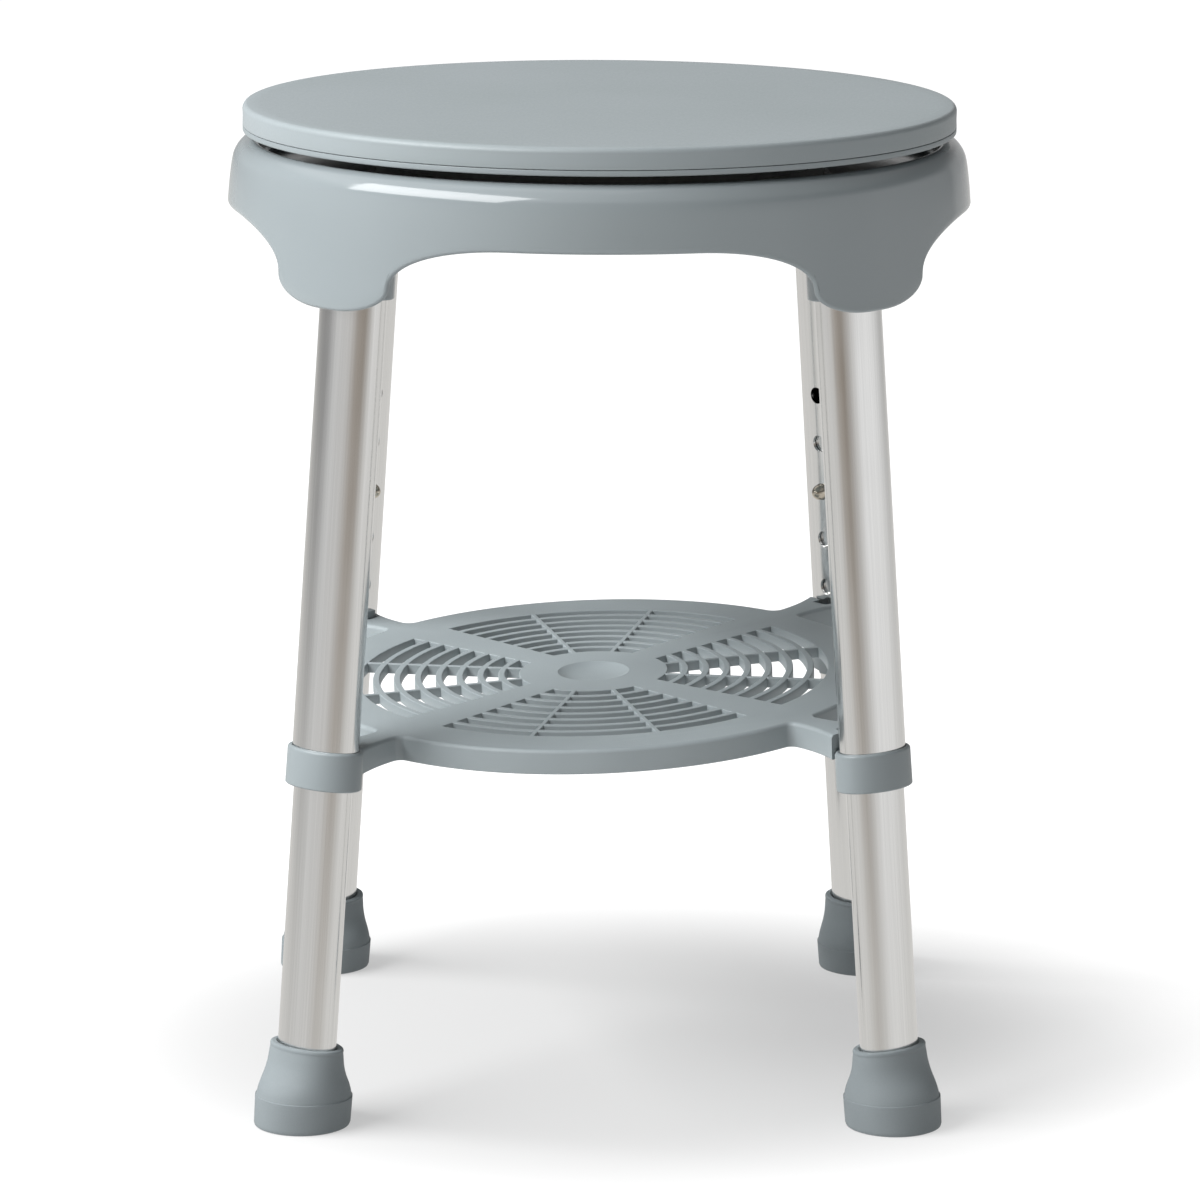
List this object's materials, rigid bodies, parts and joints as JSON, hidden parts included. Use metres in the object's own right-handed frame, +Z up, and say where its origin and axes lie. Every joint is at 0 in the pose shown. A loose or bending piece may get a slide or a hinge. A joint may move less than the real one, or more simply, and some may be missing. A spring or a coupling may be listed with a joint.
{
  "type": "shower stool",
  "caption": "Round shower stool with a swivelling padded seat, a one-piece base frame, splayed telescoping oval legs with snap buttons, a slotted shelf and rubber feet.",
  "frame": {"origin": "on the floor, on the seat's swivel axis", "axes": "+Z up along the swivel axis, front towards -Y, +X to the right seen from the front"},
  "size_m": [0.3616, 0.3616, 0.4741],
  "materials": {
    "seat_foam": "closed-cell foam with a smooth satin skin, blue-grey",
    "board_plastic": "satin, blue-grey",
    "gloss_plastic": "gloss, blue-grey",
    "matte_plastic": "matte, blue-grey",
    "foot_rubber": "matte, blue-grey",
    "leg_aluminium": "satin anodised",
    "stainless_steel": "plain stainless steel",
    "spring_steel": "spring steel",
    "button_metal": "nickel-plated brass",
    "white_acetal": "natural white acetal"
  },
  "bodies": {
    "root": {"base_frame": "gloss_plastic", "glide_ring": "white_acetal", "pivot_bush": "white_acetal", "shelf": "matte_plastic", "front_left_upper_leg": "leg_aluminium", "front_left_leg_screw": "stainless_steel", "front_left_collar": "matte_plastic", "front_right_upper_leg": "leg_aluminium", "front_right_leg_screw": "stainless_steel", "front_right_collar": "matte_plastic", "rear_left_upper_leg": "leg_aluminium", "rear_left_leg_screw": "stainless_steel", "rear_left_collar": "matte_plastic", "rear_right_upper_leg": "leg_aluminium", "rear_right_leg_screw": "stainless_steel", "rear_right_collar": "matte_plastic"},
    "seat": {"seat_pad": "seat_foam", "seat_board": "board_plastic", "seat_track": "stainless_steel", "seat_track_screw_1": "stainless_steel", "seat_track_screw_2": "stainless_steel", "seat_track_screw_3": "stainless_steel", "seat_track_screw_4": "stainless_steel", "pivot_bolt": "stainless_steel", "pivot_washer": "stainless_steel", "pivot_nut": "stainless_steel"},
    "front_left_lower": {"front_left_lower_leg": "leg_aluminium", "front_left_button_spring": "spring_steel", "front_left_foot_insert": "stainless_steel", "front_left_foot": "foot_rubber"},
    "front_left_button": {"front_left_snap_button": "button_metal"},
    "front_right_lower": {"front_right_lower_leg": "leg_aluminium", "front_right_button_spring": "spring_steel", "front_right_foot_insert": "stainless_steel", "front_right_foot": "foot_rubber"},
    "front_right_button": {"front_right_snap_button": "button_metal"},
    "rear_left_lower": {"rear_left_lower_leg": "leg_aluminium", "rear_left_button_spring": "spring_steel", "rear_left_foot_insert": "stainless_steel", "rear_left_foot": "foot_rubber"},
    "rear_left_button": {"rear_left_snap_button": "button_metal"},
    "rear_right_lower": {"rear_right_lower_leg": "leg_aluminium", "rear_right_button_spring": "spring_steel", "rear_right_foot_insert": "stainless_steel", "rear_right_foot": "foot_rubber"},
    "rear_right_button": {"rear_right_snap_button": "button_metal"}
  },
  "joints": [
    {"name": "seat_swivel", "type": "hinge", "parent": "root", "child": "seat", "pos_m": [0, 0, 0.455], "axis": [0, 0, 1], "continuous": true},
    {"name": "front_left_leg_slide", "type": "slide", "parent": "root", "child": "front_left_lower", "axis": [-0.0649, -0.0649, -0.9958], "range_m": [-0.0508, 0.0508], "deforming": ["front_left_snap_button"]},
    {"name": "front_left_button_press", "type": "slide", "parent": "front_left_lower", "child": "front_left_button", "axis": [-0.7041, -0.7041, 0.0918], "range_m": [0, 0.0062], "stiffness_N_per_m": 1500, "springref_m": -0.004, "deforming": ["front_left_button_spring"]},
    {"name": "front_right_leg_slide", "type": "slide", "parent": "root", "child": "front_right_lower", "axis": [0.0649, -0.0649, -0.9958], "range_m": [-0.0508, 0.0508], "deforming": ["front_right_snap_button"]},
    {"name": "front_right_button_press", "type": "slide", "parent": "front_right_lower", "child": "front_right_button", "axis": [0.7041, -0.7041, 0.0918], "range_m": [0, 0.0062], "stiffness_N_per_m": 1500, "springref_m": -0.004, "deforming": ["front_right_button_spring"]},
    {"name": "rear_left_leg_slide", "type": "slide", "parent": "root", "child": "rear_left_lower", "axis": [-0.0649, 0.0649, -0.9958], "range_m": [-0.0508, 0.0508], "deforming": ["rear_left_snap_button"]},
    {"name": "rear_left_button_press", "type": "slide", "parent": "rear_left_lower", "child": "rear_left_button", "axis": [-0.7041, 0.7041, 0.0918], "range_m": [0, 0.0062], "stiffness_N_per_m": 1500, "springref_m": -0.004, "deforming": ["rear_left_button_spring"]},
    {"name": "rear_right_leg_slide", "type": "slide", "parent": "root", "child": "rear_right_lower", "axis": [0.0649, 0.0649, -0.9958], "range_m": [-0.0508, 0.0508], "deforming": ["rear_right_snap_button"]},
    {"name": "rear_right_button_press", "type": "slide", "parent": "rear_right_lower", "child": "rear_right_button", "axis": [0.7041, 0.7041, 0.0918], "range_m": [0, 0.0062], "stiffness_N_per_m": 1500, "springref_m": -0.004, "deforming": ["rear_right_button_spring"]}
  ]
}
